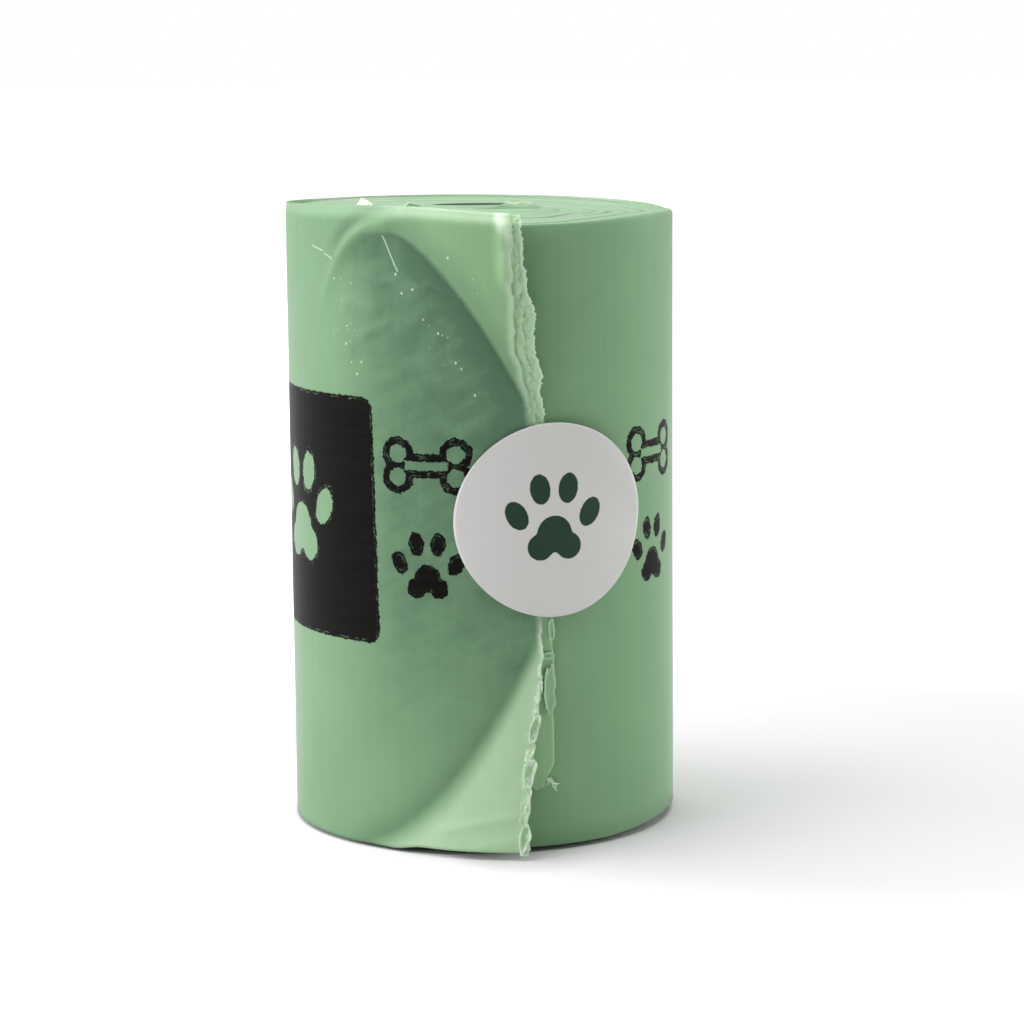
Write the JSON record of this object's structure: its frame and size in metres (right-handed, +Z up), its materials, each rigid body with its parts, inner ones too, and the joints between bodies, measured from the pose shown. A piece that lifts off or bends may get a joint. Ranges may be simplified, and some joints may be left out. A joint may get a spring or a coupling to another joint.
{
  "type": "dog waste bag roll",
  "caption": "Upright roll of folded film bags, wound with no core, with a loose torn end held at the front by a round paper seal.",
  "frame": {"origin": "on the roll's axis, in the plane of the end that it stands on", "axes": "+Z up along the roll's axis; -Y is the front, where the loose end is sealed; +X is to the right seen from the front"},
  "size_m": [0.0392, 0.0413, 0.0624],
  "materials": {
    "film": "satin translucent film",
    "label_paper": "matt paper",
    "green_ink": "dark green print",
    "black_ink": "slightly glossy black print"
  },
  "bodies": {
    "root": {"film_roll": "film", "seal_sticker": "label_paper", "sticker_print": "green_ink", "black_print": "black_ink"}
  },
  "joints": []
}
